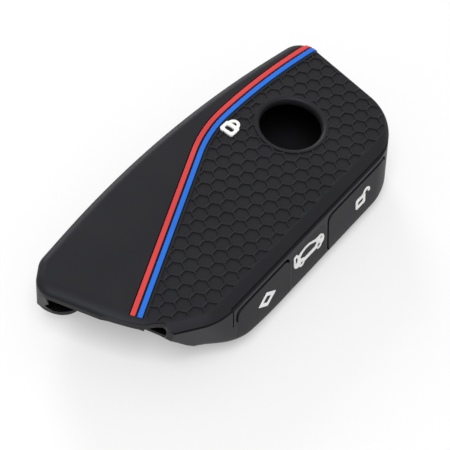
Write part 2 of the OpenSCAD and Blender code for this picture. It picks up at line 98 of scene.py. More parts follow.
# Height and growth of a cell's outline, from its soft rim down to its bottom
CELL_RIM = [(0, 0.16), (-0.025, 0.1), (-0.07, 0.04), (-0.14, 0.01), (-0.27, 0),
            (-0.3, -0.03)]
# The cells stop short of the bands, reach past the top face at the closed end, and are
# kept within this depth of the top
FIELD_INSET = 0.06
FIELD_RUN_OUT = 1.2
FIELD_DEPTH = 1
CELL_X = 0.56
CELL_Y = 4.45
STRIPE_BORDER_W = 0.7
WINDOW_R = 6.75
WINDOW_X = -1.3
WINDOW_Y = 22.4
COLLAR_W = 1.3
WINDOW_EDGE_R = 1.0

# Stripes
STRIPE_W = 1.0
STRIPE_GAP = 0.45
STRIPE_SET = 0.5
STRIPE_PROUD = 0.15
STRIPE_ANGLE = radians(22.5)
STRIPE_BEND_R = 33
STRIPE_BOW_R = 155
STRIPE_X = -13.8
STRIPE_Y = 15
STRIPE_RUN_L = 42.8
STRIPE_EDGE_W = 0.25
STRIPE_BEVEL = 0.3

# Pads
PAD_H = 10.1
PAD_Z = 3.8
PADS_NEAR = 0.1
PADS_FAR = 8.1
LOCATE_PAD_L = 17.2
BOOT_PAD_L = 11.5
LOCATE_BAR_W = 1.1
UNLOCK_BAR_W = 1.6
PAD_CORNER_R = 1.6
PAD_GAP = 0.03
PAD_CLEAR = 0.15
GROOVE_H = 1.0
GROOVE_W = 0.7
LOCATE_GROOVE_L = 2.9
SKIRT_W = 0.3
SKIRT_T = 0.5
SKIRT_GAP = 0.05
LINE_W = 0.6
LINE_DEPTH = 0.45
THIN_LINE_W = 0.3
LINE_SIDE_W = 1.6
LINE_END_H = 5.0
PAD_BEVEL = 0.14

# Signs
SIGN_PROUD = 0.15
SIGN_SET = 0.4
SIGN_BEVEL = 0.09
PADLOCK_W = 3.5
PADLOCK_H = 2.9
PADLOCK_R = 0.16 * PADLOCK_W
PADLOCK_HOLE_W = 0.6 * PADLOCK_W
PADLOCK_HOLE_H = 0.4 * PADLOCK_H
PADLOCK_HOLE_Y = 0.28 * PADLOCK_H
PADLOCK_HOLE_R = 0.4 * PADLOCK_HOLE_H
SHACKLE_W = 2.7
SHACKLE_H = 1.4
SHACKLE_T = 0.72
SHACKLE_OPEN_ANGLE = radians(14)
SHACKLE_STEPS = 24
# The car's outlines, in shares of its length and height
CAR_L = 10.7
CAR_H = 4.9
CAR_BODY = [(0.04, 0.24), (0.12, 0.15), (0.93, 0.15), (0.98, 0.22), (1, 0.42), (0.97, 0.62),
            (0.9, 0.75), (0.71, 0.76), (0.6, 0.87), (0.5, 0.95), (0.38, 0.96), (0.26, 0.91),
            (0.16, 0.82), (0.1, 1), (0, 0.96), (0, 0.4)]
CAR_CABIN = [(0.36, 0.34), (0.7, 0.34), (0.75, 0.45), (0.74, 0.58), (0.64, 0.7), (0.52, 0.82),
             (0.39, 0.85), (0.28, 0.79), (0.2, 0.64), (0.22, 0.52)]
CAR_TAIL = [(0.05, 0.46), (0.11, 0.5), (0.12, 0.68), (0.09, 0.86), (0.05, 0.84)]
CAR_LAMP = (0.9, 0.55)
CAR_WHEELS = (0.25, 0.83)
WHEEL_R = 0.95
HUB_R = 0.45 * WHEEL_R
LAMP_R = 0.42 * WHEEL_R
RHOMBUS_L = 5.9
RHOMBUS_H = 4.2
RHOMBUS_HOLE_SHARE = 0.48
LOCK_PLACE = (-10.2, 10.8)
LOCATE_SIGN_IN = 9.4
LOCATE_SIGN_Z = 9.4
BOOT_SIGN_Z = 8.4
UNLOCK_SIGN_IN = 11.6
UNLOCK_SIGN_Z = 7.7

# Building: how far a cut runs past the body, the room behind the pads' skirts, the gap
# under an inlay, the least share a corner radius shrinks to, how far the bottom's rings go
# towards the spine, the reach of a weld, and the angles of bevelled and of sharp edges
OVER = 2
SIDE_ROOM = 1.2
SEAT_GAP = 0.05
LEAST_R_SHARE = 0.25
CORE_SHARE = 0.8
WELD = 0.003
BEVEL_WELD = 0.02
BEVEL_ANGLE = radians(40)
BEVEL_SEGMENTS = 3
SHARP_ANGLE = radians(32)
NORMAL_WEIGHT = 90
SPINE_L = BODY_L / 2 - BODY_W / 2

# Corners of the outline, anticlockwise from the open end's plain corner, and what follows
# each of its edges: open end, slant, pad side, closed end, twice the stripe side, and heel
SLANT, PAD_SIDE, FAR_END = 1, 2, 3
CORNER_SHARES = [(-0.679, -1.012), (0.464, -0.856), (1.004, -0.486), (1.004, 0.887),
                 (-0.728, 1.017), (-1.102, 0.064), (-0.892, -0.868)]
SIDES = len(CORNER_SHARES)
BELLY_R = [MOUTH_CORNER_R, SLANT_CORNER_R, SLANT_BELLY_R, FAR_BELLY_R, STRIPE_CORNER_R,
           BOW_R, HEEL_CORNER_R]
CROWN_R = [MOUTH_CORNER_R, TONGUE_CORNER_R, SLANT_CORNER_R, FAR_CORNER_R, STRIPE_CORNER_R,
           BOW_R, HEEL_CORNER_R]
BAND_W = [MOUTH_BAND_W, SLANT_BAND_W, SIDE_BAND_W] + 4 * [ROUND_EDGE_W]
BAND_ANGLE = [MOUTH_BAND_ANGLE, SLANT_BAND_ANGLE] + 5 * [0]
FLAT = [0, BAND_FLAT, BAND_FLAT] + 4 * [0]
LEAN = [-HEEL_TUCK, -SLANT_TUCK, SIDE_LEAN, WALL_LEAN, WALL_LEAN, WALL_LEAN, -HEEL_TUCK]
FOOT = [MOUTH_FOOT_W, SLANT_FOOT_W] + 5 * [FOOT_W]

# Fineness: points on each corner and edge, rings of each zone, and points round a circle
ARC_STEPS = [12, 8, 14, 26, 12, 30, 9]
EDGE_STEPS = [8, 8, 20, 8, 3, 6, 2]
BAND_RINGS = 9
WALL_RINGS = 3
FOOT_RINGS = 7
CORE_RINGS = 4
ROUND_STEPS = 96
WINDOW_EDGE_STEPS = 10
SMALL_STEPS = 24


def unit(v):
    return v.normalized()


def left_of(v):
    return Vector((-v.y, v.x))


def turned(v, a):
    return Vector((v.x * cos(a) - v.y * sin(a), v.x * sin(a) + v.y * cos(a)))


def cross(u, v):
    return u.x * v.y - u.y * v.x


def mix(a, b, t):
    return a + (b - a) * t


RAW = [Vector((x * BODY_W / 2, y * BODY_L / 2)) for x, y in CORNER_SHARES]
RUN = [unit(RAW[(e + 1) % SIDES] - RAW[e]) for e in range(SIDES)]


def turn_at(i):
    """Angle by which the outline turns at a corner."""
    return atan2(cross(RUN[i - 1], RUN[i]), RUN[i - 1].dot(RUN[i]))


def inset_corner(i, insets):
    """A corner once both of its edges are moved inwards."""
    u, v = RUN[i - 1], RUN[i]
    p, q = RAW[i] + left_of(u) * insets[i - 1], RAW[i] + left_of(v) * insets[i]
    return p + u * (cross(q - p, v) / cross(u, v))


def arc_point(i, insets, r, t):
    """A point on a corner's arc, from 0 at its start to 1 at its end."""
    u, turn = RUN[i - 1], turn_at(i)
    start = inset_corner(i, insets) - u * (r * tan(turn / 2))
    return start + left_of(u) * r - turned(left_of(u), turn * t) * r


def inset_r(i, base_r, insets):
    return max(base_r - (insets[i - 1] + insets[i]) / 2, LEAST_R_SHARE * base_r)


def ring_plan(insets, r):
    """One closed ring of points in plan, each with its place between two edges."""
    ring = []
    for i in range(SIDES):
        ring += [(arc_point(i, insets, r[i], n / ARC_STEPS[i]), i - 1, i, n / ARC_STEPS[i])
                 for n in range(ARC_STEPS[i] + 1)]
        j = (i + 1) % SIDES
        a, b = arc_point(i, insets, r[i], 1), arc_point(j, insets, r[j], 0)
        ring += [(mix(a, b, n / (EDGE_STEPS[i] + 1)), i, i, 0)
                 for n in range(1, EDGE_STEPS[i] + 1)]
    return ring


wide = [p[0] for insets in (LEAN, SIDES * [0]) for p in ring_plan(
    insets, [inset_r(i, BELLY_R[i], insets) for i in range(SIDES)])]
CENTRE = Vector((min(p.x for p in wide) + max(p.x for p in wide),
                 min(p.y for p in wide) + max(p.y for p in wide))) / 2
CORNERS = [c - CENTRE for c in RAW]
MOUTH_DIR = RUN[0]
MOUTH_TURN = atan2(MOUTH_DIR.y, MOUTH_DIR.x)
MOUTH_L = (CORNERS[1] - CORNERS[0]).length


def from_mouth(p):
    """Distance of a place from the line of the open end."""
    return (p - CORNERS[0]).dot(left_of(MOUTH_DIR))


def band_at(e, t):
    """Inset and depth of an edge's rounded band, from 0 at the top face to 1."""
    a = BAND_ANGLE[e]
    turn = mix(a, pi / 2, t)
    across = mix((sin(turn) - sin(a)) / (1 - sin(a)), t, FLAT[e])
    down = mix((cos(a) - cos(turn)) / cos(a), t, FLAT[e])
    return LEAN[e] + BAND_W[e] * (1 - across), BAND_DROP * down


def wall_at(e, k):
    """Inset and depth of an edge's wall at ring k: band, wall, then foot."""
    if k < BAND_RINGS:
        return band_at(e, k / (BAND_RINGS - 1))
    k -= BAND_RINGS
    belly_depth = BODY_H - BELLY_Z
    if k < WALL_RINGS:
        t = (k + 1) / (WALL_RINGS + 1)
        return mix(LEAN[e], 0, t), mix(BAND_DROP, belly_depth, t)
    turn = pi / 2 * (k - WALL_RINGS) / FOOT_RINGS
    return FOOT[e] * (1 - cos(turn)), belly_depth + BELLY_Z * sin(turn)


def rise(p):
    """How far the underside has come up at a place near the open end."""
    t = (OVERHANG + RAMP_L - from_mouth(p)) / RAMP_L
    return LIP_LIFT * min(max(t, 0), 1) ** 2


def raised(p, depth):
    """A place's depth once the underside comes up towards the lower lip."""
    ceiling = max(BAND_DROP, ROOF_T)
    if depth <= ceiling:
        return depth
    return depth - rise(p) * (depth - ceiling) / (BODY_H - ceiling)


def ring_points(k, gap, roof, floor):
    """Ring k of a form, from the top face down the walls and across the bottom."""
    last = BAND_RINGS + WALL_RINGS + FOOT_RINGS
    m = min(k, last)
    walls = [wall_at(e, m) for e in range(SIDES)]
    insets = [w[0] + gap for w in walls]
    t = min(m / (BAND_RINGS - 1), 1)
    r = [inset_r(i, mix(CROWN_R[i], BELLY_R[i], t), insets) for i in range(SIDES)]
    points = []
    for p, e0, e1, share in ring_plan(insets, r):
        q = p - CENTRE
        spine = Vector((0, min(max(q.y, -SPINE_L), SPINE_L)))
        q = mix(q, spine, CORE_SHARE * (k - m) / CORE_RINGS)
        depth = mix(walls[e0][1], walls[e1][1], share)
        depth = roof + depth * (BODY_H - roof - floor) / BODY_H
        points.append(Vector((q.x, q.y, BODY_H - raised(q, depth))))
    return points


def make(name, points, faces):
    """A mesh object with its faces turned outwards."""
    mesh = bpy.data.meshes.new(name)
    mesh.from_pydata([tuple(p) for p in points], [], faces)
    bm = bmesh.new()
    bm.from_mesh(mesh)
    bmesh.ops.recalc_face_normals(bm, faces=bm.faces)
    bm.to_mesh(mesh)
    bm.free()
    obj = bpy.data.objects.new(name, mesh)
    bpy.context.scene.collection.objects.link(obj)
    return obj


def between(rings, n, first=0):
    """Faces between neighbouring rings of n points each."""
    return [[a + i, a + (i + 1) % n, a + n + (i + 1) % n, a + n + i]
            for a in range(first, first + n * (rings - 1), n) for i in range(n)]


def form(gap, roof=None, floor=None):
    """The cover's outer form, drawn in by a gap at the sides, the top and the bottom.

    The top face is one face, and the bottom is closed by a zigzag of triangles."""
    roof = gap if roof is None else roof
    floor = gap if floor is None else floor
    rings = BAND_RINGS + WALL_RINGS + FOOT_RINGS + 1 + CORE_RINGS
    stack = [ring_points(k, gap, roof, floor) for k in range(rings)]
    n = len(stack[0])
    faces = [list(range(n))] + between(rings, n)
    seam = ARC_STEPS[0] // 2
    zigzag = [(rings - 1) * n + (seam + (i + 1) // 2 if i % 2 else seam - i // 2) % n
              for i in range(n)]
    faces += [[zigzag[i], zigzag[i + 1], zigzag[i + 2]] for i in range(n - 2)]
    return make("form", [p for ring in stack for p in ring], faces)


def prism(outline, low, high, place=Matrix()):
    """An outline drawn up from low to high, then placed."""
    n = len(outline)
    points = [place @ Vector((x, y, z)) for z in (low, high) for x, y in outline]
    faces = [list(range(n)), list(range(n, 2 * n))] + between(2, n)
    return make("prism", points, faces)


def applied(obj):
    """Turns an object's modifiers into mesh."""
    bpy.context.view_layer.update()
    seen = obj.evaluated_get(bpy.context.evaluated_depsgraph_get())
    obj.data = bpy.data.meshes.new_from_object(seen)
    obj.modifiers.clear()
    return obj


def combined(obj, tool, how):
    mod = obj.modifiers.new("solid", "BOOLEAN")
    mod.operation, mod.solver, mod.object = how, "EXACT", tool
    applied(obj)
    bpy.data.objects.remove(tool)
    return obj


def cut(obj, tool):
    return combined(obj, tool, "DIFFERENCE")


def common(obj, tool):
    return combined(obj, tool, "INTERSECT")


def joined(obj, tool):
    return combined(obj, tool, "UNION")


def skin(out, deep):
    """The layer of the outer form between two depths."""
    return cut(form(out), form(deep))


def circle(x, y, r, steps=48):
    return [(x + r * cos(2 * pi * k / steps), y + r * sin(2 * pi * k / steps))
            for k in range(steps)]


def rounded(x, y, w, h, r, steps=8):
    """A rectangle with round corners, its lower edge's middle at x, y."""
    points = []
    for k, (cx, cy) in enumerate([(w / 2 - r, r), (w / 2 - r, h - r),
                                  (-w / 2 + r, h - r), (-w / 2 + r, r)]):
        for s in range(steps + 1):
            a = pi / 2 * (k - 1 + s / steps)
            points.append((x + cx + r * cos(a), y + cy + r * sin(a)))
    return points


# Places for outlines: at the open end's plain corner, looking along the open end, and
# standing in the side wall
AT_MOUTH = Matrix.Translation((*CORNERS[0], 0)) @ Matrix.Rotation(MOUTH_TURN, 4, "Z")
IN_SIDE = Matrix(((0, 0, 1, 0), (1, 0, 0, 0), (0, 1, 0, 0), (0, 0, 0, 1)))
WALL_TURN = atan(SIDE_LEAN / (BODY_H - BAND_DROP - BELLY_Z))
ON_SIDE = (Matrix.Translation((CORNERS[PAD_SIDE].x, 0, BELLY_Z))
           @ Matrix.Rotation(-WALL_TURN, 4, "Y") @ IN_SIDE
           @ Matrix.Translation((0, -BELLY_Z, 0)))


def along_mouth(start, turn, outline):
    """An outline of places and depths below the top, drawn out along the open end."""
    place = (AT_MOUTH @ Matrix.Translation((start, 0, 0)) @ Matrix.Rotation(-turn, 4, "Z")
             @ IN_SIDE)
    return prism([(x, BODY_H - depth) for x, depth in outline], 0, BODY_W, place)


def open_end(cover):
    """Cuts the open end away: the opening below the top skin, and the notch."""
    lip_depth = BODY_H - LIP_LIFT - FLOOR_T
    deep = BODY_H + OVER
    tab_y = OVERHANG - TAB_R
    opening = along_mouth(-OVER, 0, [(-OVER, TONGUE_H), (0, TONGUE_H), (tab_y, lip_depth),
                                     (tab_y, deep), (-OVER, deep)])
    joined(opening, along_mouth(TAB_X, LIP_ANGLE, [
        (-OVER, TONGUE_H), (WALL_T, TONGUE_H), (OVERHANG, lip_depth),
        (OVERHANG, deep), (-OVER, deep)]))
    tab = circle(TAB_X, OVERHANG, TAB_R, ROUND_STEPS)
    cut(opening, prism(tab, -OVER, BODY_H - lip_depth, AT_MOUTH))
    cut(cover, opening)
    notch = [(x * MOUTH_L, y * NOTCH_L) for x, y in NOTCH_SHARES]
    cut(cover, prism(notch, -OVER, BODY_H + OVER, AT_MOUTH))


BOW_SWEEP = asin((BODY_L / 2 + OVER - STRIPE_Y) / STRIPE_BOW_R)


def stripe_line(off, steps=40):
    """Line of the stripes' middle, moved sideways, from the closed end to the open end:
    a wide bow, a closer bend, and a straight run."""
    line = []
    for k in range(steps + 1):
        a = BOW_SWEEP * (1 - k / steps)
        line.append((STRIPE_X + STRIPE_BOW_R - (STRIPE_BOW_R - off) * cos(a),
                     STRIPE_Y + (STRIPE_BOW_R - off) * sin(a)))
    for k in range(1, steps + 1):
        a = STRIPE_ANGLE * k / steps
        line.append((STRIPE_X + STRIPE_BEND_R - (STRIPE_BEND_R - off) * cos(a),
                     STRIPE_Y - (STRIPE_BEND_R - off) * sin(a)))
    x, y = line[-1]
    return line + [(x + STRIPE_RUN_L * sin(STRIPE_ANGLE),
                    y - STRIPE_RUN_L * cos(STRIPE_ANGLE))]


def stripe_prism(start, end):
    """The strip between two lines beside the stripes' middle, drawn up past the top."""
    return prism(stripe_line(start) + stripe_line(end)[::-1], BODY_H / 2, BODY_H + OVER)


RED_FROM = -STRIPE_W - STRIPE_GAP / 2
BLUE_FROM = STRIPE_GAP / 2


def cell_pockets():
    """Six-sided pockets with softened edges, all in one mesh."""
    top_r = (CELL_PITCH - RIDGE_W) / 2 / cos(pi / 6)
    profile = [(OVER, top_r + CELL_RIM[0][1])] + [(z, top_r + r) for z, r in CELL_RIM]
    rows = ceil(BODY_L / CELL_PITCH / sin(pi / 3) / 2)
    columns = ceil(BODY_W / CELL_PITCH / 2)
    turns = [pi / 6 + pi / 3 * k for k in range(6)]
    points, faces = [], []
    for j in range(-rows, rows + 1):
        for i in range(-columns, columns + 1):
            x = CELL_X + (i + (j % 2) / 2) * CELL_PITCH
            y = CELL_Y + j * CELL_PITCH * sin(pi / 3)
            first = len(points)
            for z, r in profile:
                points += [(x + r * cos(a), y + r * sin(a), BODY_H + z) for a in turns]
            faces.append([first + k for k in range(6)])
            faces.append([first + 6 * (len(profile) - 1) + k for k in range(6)])
            faces += between(len(profile), 6, first)
    return make("cells", points, faces)


def honeycomb(cover):
    """Cells up to the bands along the pads; at the closed end they run out over the edge."""
    insets = [wall_at(e, 0)[0] + FIELD_INSET for e in range(SIDES)]
    insets[FAR_END] -= FIELD_RUN_OUT
    r = [inset_r(i, CROWN_R[i], insets) for i in range(SIDES)]
    crown = [tuple(p[0] - CENTRE) for p in ring_plan(insets, r)]
    field = prism(crown, BODY_H - FIELD_DEPTH, BODY_H + FIELD_DEPTH)
    border = stripe_line(BLUE_FROM + STRIPE_W + STRIPE_BORDER_W)
    common(field, prism(border + [(BODY_W, -BODY_L), (BODY_W, BODY_L)], 0, 2 * BODY_H))
    collar = circle(WINDOW_X, WINDOW_Y, WINDOW_R + COLLAR_W, ROUND_STEPS)
    cut(field, prism(collar, 0, 2 * BODY_H))
    cut(cover, common(cell_pockets(), field))


def window(cover):
    """A round hole whose upper edge is rounded over."""
    steps, bend = ROUND_STEPS, WINDOW_EDGE_STEPS
    profile = [(OVER, WINDOW_R + WINDOW_EDGE_R), (0, WINDOW_R + WINDOW_EDGE_R)]
    profile += [(WINDOW_EDGE_R * (cos(a) - 1), WINDOW_R + WINDOW_EDGE_R * (1 - sin(a)))
                for a in [pi / 2 * k / bend for k in range(1, bend + 1)]]
    profile.append((-BODY_H / 2, WINDOW_R))
    points = [(WINDOW_X + r * cos(2 * pi * k / steps), WINDOW_Y + r * sin(2 * pi * k / steps),
               BODY_H + z) for z, r in profile for k in range(steps)]
    faces = between(len(profile), steps)
    faces += [list(range(steps)), list(range(len(points) - steps, len(points)))]
    cut(cover, make("window", points, faces))


LOCATE_Y = CORNERS[PAD_SIDE].y - PADS_NEAR
BOOT_Y = LOCATE_Y + LOCATE_PAD_L + LOCATE_BAR_W
UNLOCK_Y = BOOT_Y + BOOT_PAD_L + UNLOCK_BAR_W
UNLOCK_PAD_L = CORNERS[FAR_END].y - PADS_FAR - UNLOCK_Y
PAD_TOP = PAD_Z + PAD_H
# Each pad's start and length along the side, and the height its hole is wider above
PADS = {"locate": (LOCATE_Y, LOCATE_PAD_L, PAD_TOP - LOCATE_GROOVE_L),
        "boot": (BOOT_Y, BOOT_PAD_L, PAD_TOP),
        "unlock": (UNLOCK_Y, UNLOCK_PAD_L, PAD_Z)}


def pad_line(cover):
    """The groove below the band, and the thin line that runs on from it."""
    y, z, thin = LOCATE_Y - LINE_SIDE_W, BODY_H - BAND_DROP, THIN_LINE_W
    far_y = CORNERS[FAR_END].y - FAR_CORNER_R / 2
    slab = prism([(y, z - LINE_END_H), (y + thin, z - LINE_END_H), (y + thin, z - LINE_W / 2),
                  (far_y, z - LINE_W / 2), (far_y, z + LINE_W / 2), (y, z + LINE_W / 2)],
                 BODY_W / 4, BODY_W, IN_SIDE)
    slant = CORNERS[PAD_SIDE] - CORNERS[SLANT]
    r, place = SLANT_CORNER_R, (Matrix.Translation((*CORNERS[SLANT], z))
                                @ Matrix.Rotation(atan2(slant.y, slant.x), 4, "Z"))
    joined(slab, prism([(r, -r), (slant.length, -r), (slant.length, r), (r, r)],
                       -thin / 2, thin / 2, place))
    cut(cover, cut(slab, form(LINE_DEPTH)))


def side_prism(x, y, w, h, r):
    """A rounded outline through the side wall, clear of the bottom skin."""
    reach = SIDE_LEAN + WALL_T + SKIRT_T + SIDE_ROOM
    side = CORNERS[PAD_SIDE].x
    return prism(rounded(x, y, w, h, r), side - reach, side + OVER, IN_SIDE)


def pad_prism(y, length, grow):
    """A pad's outline through the side wall, grown on all sides."""
    return side_prism(y + length / 2, PAD_Z - grow, length + 2 * grow, PAD_H + 2 * grow,
                      PAD_CORNER_R + grow)


def hole_prism(y, length, grow, low):
    """A pad's hole: wider above an outer pad and at its near end, down to a height."""
    hole = pad_prism(y, length, PAD_CLEAR + grow)
    if low < PAD_TOP:
        joined(hole, side_prism(y + (length + PAD_CLEAR - GROOVE_W) / 2, low - grow,
                                length + PAD_CLEAR + GROOVE_W + 2 * grow,
                                PAD_TOP + GROOVE_H - low + 2 * grow, PAD_CORNER_R + grow))
    return hole


def welded(obj, reach):
    """Joins points that lie almost in one place, so that no face is left without area."""
    mod = obj.modifiers.new("weld", "WELD")
    mod.merge_threshold = reach
    return applied(obj)


def finished(obj, name, body, nodes, material, bevel=0):
    """Gives a built shape its name, edges, shading, material and place in the table."""
    obj.name = obj.data.name = name
    if bevel:
        welded(obj, BEVEL_WELD)
        mod = obj.modifiers.new("edges", "BEVEL")
        mod.width, mod.segments, mod.limit_method = bevel, BEVEL_SEGMENTS, "ANGLE"
        mod.angle_limit, mod.harden_normals = BEVEL_ANGLE, False
        applied(obj)
    welded(obj, WELD)
    obj.data.transform(Matrix.Scale(MM, 4))
    obj.data.polygons.foreach_set("use_smooth", [True] * len(obj.data.polygons))
    obj.data.set_sharp_from_angle(angle=SHARP_ANGLE)
    mod = obj.modifiers.new("normals", "WEIGHTED_NORMAL")
    mod.keep_sharp, mod.weight = True, NORMAL_WEIGHT
    applied(obj)
    obj.data.materials.clear()
    obj.data.materials.append(material)
    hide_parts(*nodes)
    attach(obj, body)
    return obj


def padlock_body():
    """Outlines of a padlock without its shackle: solids, then holes."""
    return [rounded(0, 0, PADLOCK_W, PADLOCK_H, PADLOCK_R)], [
        rounded(0, PADLOCK_HOLE_Y, PADLOCK_HOLE_W, PADLOCK_HOLE_H, PADLOCK_HOLE_R)]


def shackle(place):
    """Half a ring, drawn as one outline and then placed."""
    low = SHACKLE_H - SHACKLE_W / 2
    out_r, in_r = SHACKLE_W / 2, SHACKLE_W / 2 - SHACKLE_T
    turns = [pi * k / SHACKLE_STEPS for k in range(SHACKLE_STEPS + 1)]
    outer, inner = [[(r * cos(a), low + r * sin(a)) for a in turns] for r in (out_r, in_r)]
    outline = [(out_r, 0)] + outer + [(-out_r, 0), (-in_r, 0)] + inner[::-1] + [(in_r, 0)]
    return [tuple((place @ Vector((x, y, 0))).xy) for x, y in outline]


def closed_padlock():
    solid, holes = padlock_body()
    up = Matrix.Translation((0, PADLOCK_H - SEAT_GAP, 0))
    return solid + [shackle(up)], holes


def open_padlock():
    solid, holes = padlock_body()
    leg = (SHACKLE_W - SHACKLE_T) / 2
    place = (Matrix.Translation((PADLOCK_W / 2 - leg / 2, PADLOCK_H, 0))
             @ Matrix.Rotation(-SHACKLE_OPEN_ANGLE, 4, "Z")
             @ Matrix.Translation((leg, -SHACKLE_T / 4, 0)))
    return solid + [shackle(place)], holes


def car():
    """The car from its side: body and wheels, and as holes its cabin, tail, hubs and lamp."""
    def placed(shares):
        return [((x - 0.5) * CAR_L, y * CAR_H) for x, y in shares]

    wheels = [((x - 0.5) * CAR_L, WHEEL_R) for x in CAR_WHEELS]
    solid = [placed(CAR_BODY)] + [circle(x, y, WHEEL_R) for x, y in wheels]
    holes = [placed(CAR_CABIN), placed(CAR_TAIL)]
    holes += [circle(x, y, HUB_R, SMALL_STEPS) for x, y in wheels]
    holes.append(circle(*placed([CAR_LAMP])[0], LAMP_R, SMALL_STEPS))
    return solid, holes


def rhombus():
    outline = [(-RHOMBUS_L / 2, 0), (0, -RHOMBUS_H / 2), (RHOMBUS_L / 2, 0),
               (0, RHOMBUS_H / 2)]
    return [outline], [[(RHOMBUS_HOLE_SHARE * x, RHOMBUS_HOLE_SHARE * y) for x, y in outline]]


def sign_solid(shape, place, low, high):
    """A sign's outlines drawn up from low to high, less its holes."""
    solids, holes = shape
    sign = prism(solids[0], low, high, place)
    for outline in solids[1:]:
        joined(sign, prism(outline, low, high, place))
    for outline in holes:
        cut(sign, prism(outline, low - OVER, high + OVER, place))
    return sign


ON_TOP = Matrix.Translation((0, 0, BODY_H))


def make_cover(material):
    """The black shell: pocket, open end, window, holes for the pads, and seats."""
    cover = cut(form(0), form(WALL_T, ROOF_T, FLOOR_T))
    open_end(cover)
    window(cover)
    for y, length, low in PADS.values():
        cut(cover, hole_prism(y, length, 0, low))
    pad_line(cover)
    seat = stripe_prism(RED_FROM - STRIPE_EDGE_W, BLUE_FROM + STRIPE_W + STRIPE_EDGE_W)
    cut(cover, cut(seat, form(STRIPE_SET)))
    place = ON_TOP @ Matrix.Translation((*LOCK_PLACE, 0))
    cut(cover, sign_solid(closed_padlock(), place, -SIGN_SET, OVER))
    honeycomb(cover)
    return finished(cover, "cover_skin", "cover", ["sleeve"], material)


def make_stripe(name, start, material):
    stripe = common(skin(-STRIPE_PROUD, STRIPE_SET - SEAT_GAP),
                    stripe_prism(start, start + STRIPE_W))
    return finished(stripe, name, "cover", [name.replace("_skin", "")], material,
                    STRIPE_BEVEL)


def make_pad(name, material):
    """A pad fills its hole in the wall, and its thin skirt lies just behind the wall."""
    y, length, low = PADS[name]
    near = WALL_T + SKIRT_GAP
    pad = common(skin(0, near + SKIRT_T), pad_prism(y, length, PAD_CLEAR - PAD_GAP))
    skirt = cut(form(near, ROOF_T, FLOOR_T), form(near + SKIRT_T / 2, ROOF_T, FLOOR_T))
    joined(pad, common(skirt, hole_prism(y, length, SKIRT_W, low)))
    return finished(pad, name + "_pad_skin", name + "_button", [name + "_pad"], material,
                    PAD_BEVEL)


def make_sign(name, body, shape, where, base, material):
    place = base @ Matrix.Translation((*where, 0))
    sign = sign_solid(shape, place, -SIGN_SET + SEAT_GAP, SIGN_PROUD)
    return finished(sign, name + "_skin", body, [name], material, SIGN_BEVEL)


# Materials: noise scales per metre, depths and radii in millimetres. Near the top, faces
# whose normals point up by less than STEEP_UP are dull
CLOUD_SCALE = 60
CLOUD_DETAIL = 4
CLOUD_FROM, CLOUD_TO = 0.3, 0.7
ROUGHNESS_SPREAD = 0.05
GRAIN_SCALE = 5000
GRAIN_DEPTH = 0.02
SOFT_EDGE_R = 0.12
STEEP_UP = 0.75
STEEP_DEPTH = 0.6
STEEP_ROUGHNESS = 0.95


def new_material(name):
    material = bpy.data.materials.new(name)
    material.use_nodes = True
    return material, material.node_tree.nodes, material.node_tree.links


def math_node(nodes, links, operation, a, b):
    """Output of a math node on a socket and on a second socket or a number."""
    node = nodes.new("ShaderNodeMath")
    node.operation = operation
    links.new(a, node.inputs[0])
    if isinstance(b, float):
        node.inputs[1].default_value = b
    else:
        links.new(b, node.inputs[1])
    return node.outputs[0]


def noise(nodes, links, place, scale):
    node = nodes.new("ShaderNodeTexNoise")
    node.inputs["Scale"].default_value = scale
    links.new(place.outputs["Object"], node.inputs["Vector"])
    return node


def steepness(nodes, links):
    """1 on the steep walls of the cells and seats in the top face, which stay dull."""
    geometry = nodes.new("ShaderNodeNewGeometry")
    heights = []
    for socket in ("True Normal", "Position"):
        split = nodes.new("ShaderNodeSeparateXYZ")
        links.new(geometry.outputs[socket], split.inputs[0])
        heights.append(split.outputs["Z"])
    steep = math_node(nodes, links, "LESS_THAN", heights[0], STEEP_UP)
    high = math_node(nodes, links, "GREATER_THAN", heights[1], (BODY_H - STEEP_DEPTH) * MM)
    return math_node(nodes, links, "MULTIPLY", steep, high)


def silicone(slot, dark, light, roughness, specular, tint=(1, 1, 1), grain=0.25):
    """Matt moulded silicone: faint cloudy colour, a fine grain, and softened edges."""
    material, nodes, links = new_material(slot + "_skin")
    material["slot"] = slot
    shader = nodes["Principled BSDF"]
    shader.inputs["Specular IOR Level"].default_value = specular
    shader.inputs["Specular Tint"].default_value = (*tint, 1)
    place = nodes.new("ShaderNodeTexCoord")
    cloud = noise(nodes, links, place, CLOUD_SCALE)
    cloud.inputs["Detail"].default_value = CLOUD_DETAIL
    ramp = nodes.new("ShaderNodeValToRGB")
    for element, at, colour in zip(ramp.color_ramp.elements, (CLOUD_FROM, CLOUD_TO),
                                   (dark, light)):
        element.position, element.color = at, (*colour, 1)
    links.new(cloud.outputs["Fac"], ramp.inputs["Fac"])
    links.new(ramp.outputs["Color"], shader.inputs["Base Color"])
    worn = nodes.new("ShaderNodeMapRange")
    worn.inputs["To Min"].default_value = roughness - ROUGHNESS_SPREAD
    worn.inputs["To Max"].default_value = roughness + ROUGHNESS_SPREAD
    links.new(cloud.outputs["Fac"], worn.inputs["Value"])
    rough = nodes.new("ShaderNodeMix")
    links.new(steepness(nodes, links), rough.inputs["Factor"])
    links.new(worn.outputs["Result"], rough.inputs["A"])
    rough.inputs["B"].default_value = STEEP_ROUGHNESS
    links.new(rough.outputs["Result"], shader.inputs["Roughness"])
    fine = noise(nodes, links, place, GRAIN_SCALE)
    soft = nodes.new("ShaderNodeBevel")
    soft.inputs["Radius"].default_value = SOFT_EDGE_R * MM
    bump = nodes.new("ShaderNodeBump")
    bump.inputs["Strength"].default_value = grain
    bump.inputs["Distance"].default_value = GRAIN_DEPTH * MM
    links.new(fine.outputs["Fac"], bump.inputs["Height"])
    links.new(soft.outputs["Normal"], bump.inputs["Normal"])
    links.new(bump.outputs["Normal"], shader.inputs["Normal"])
    return material


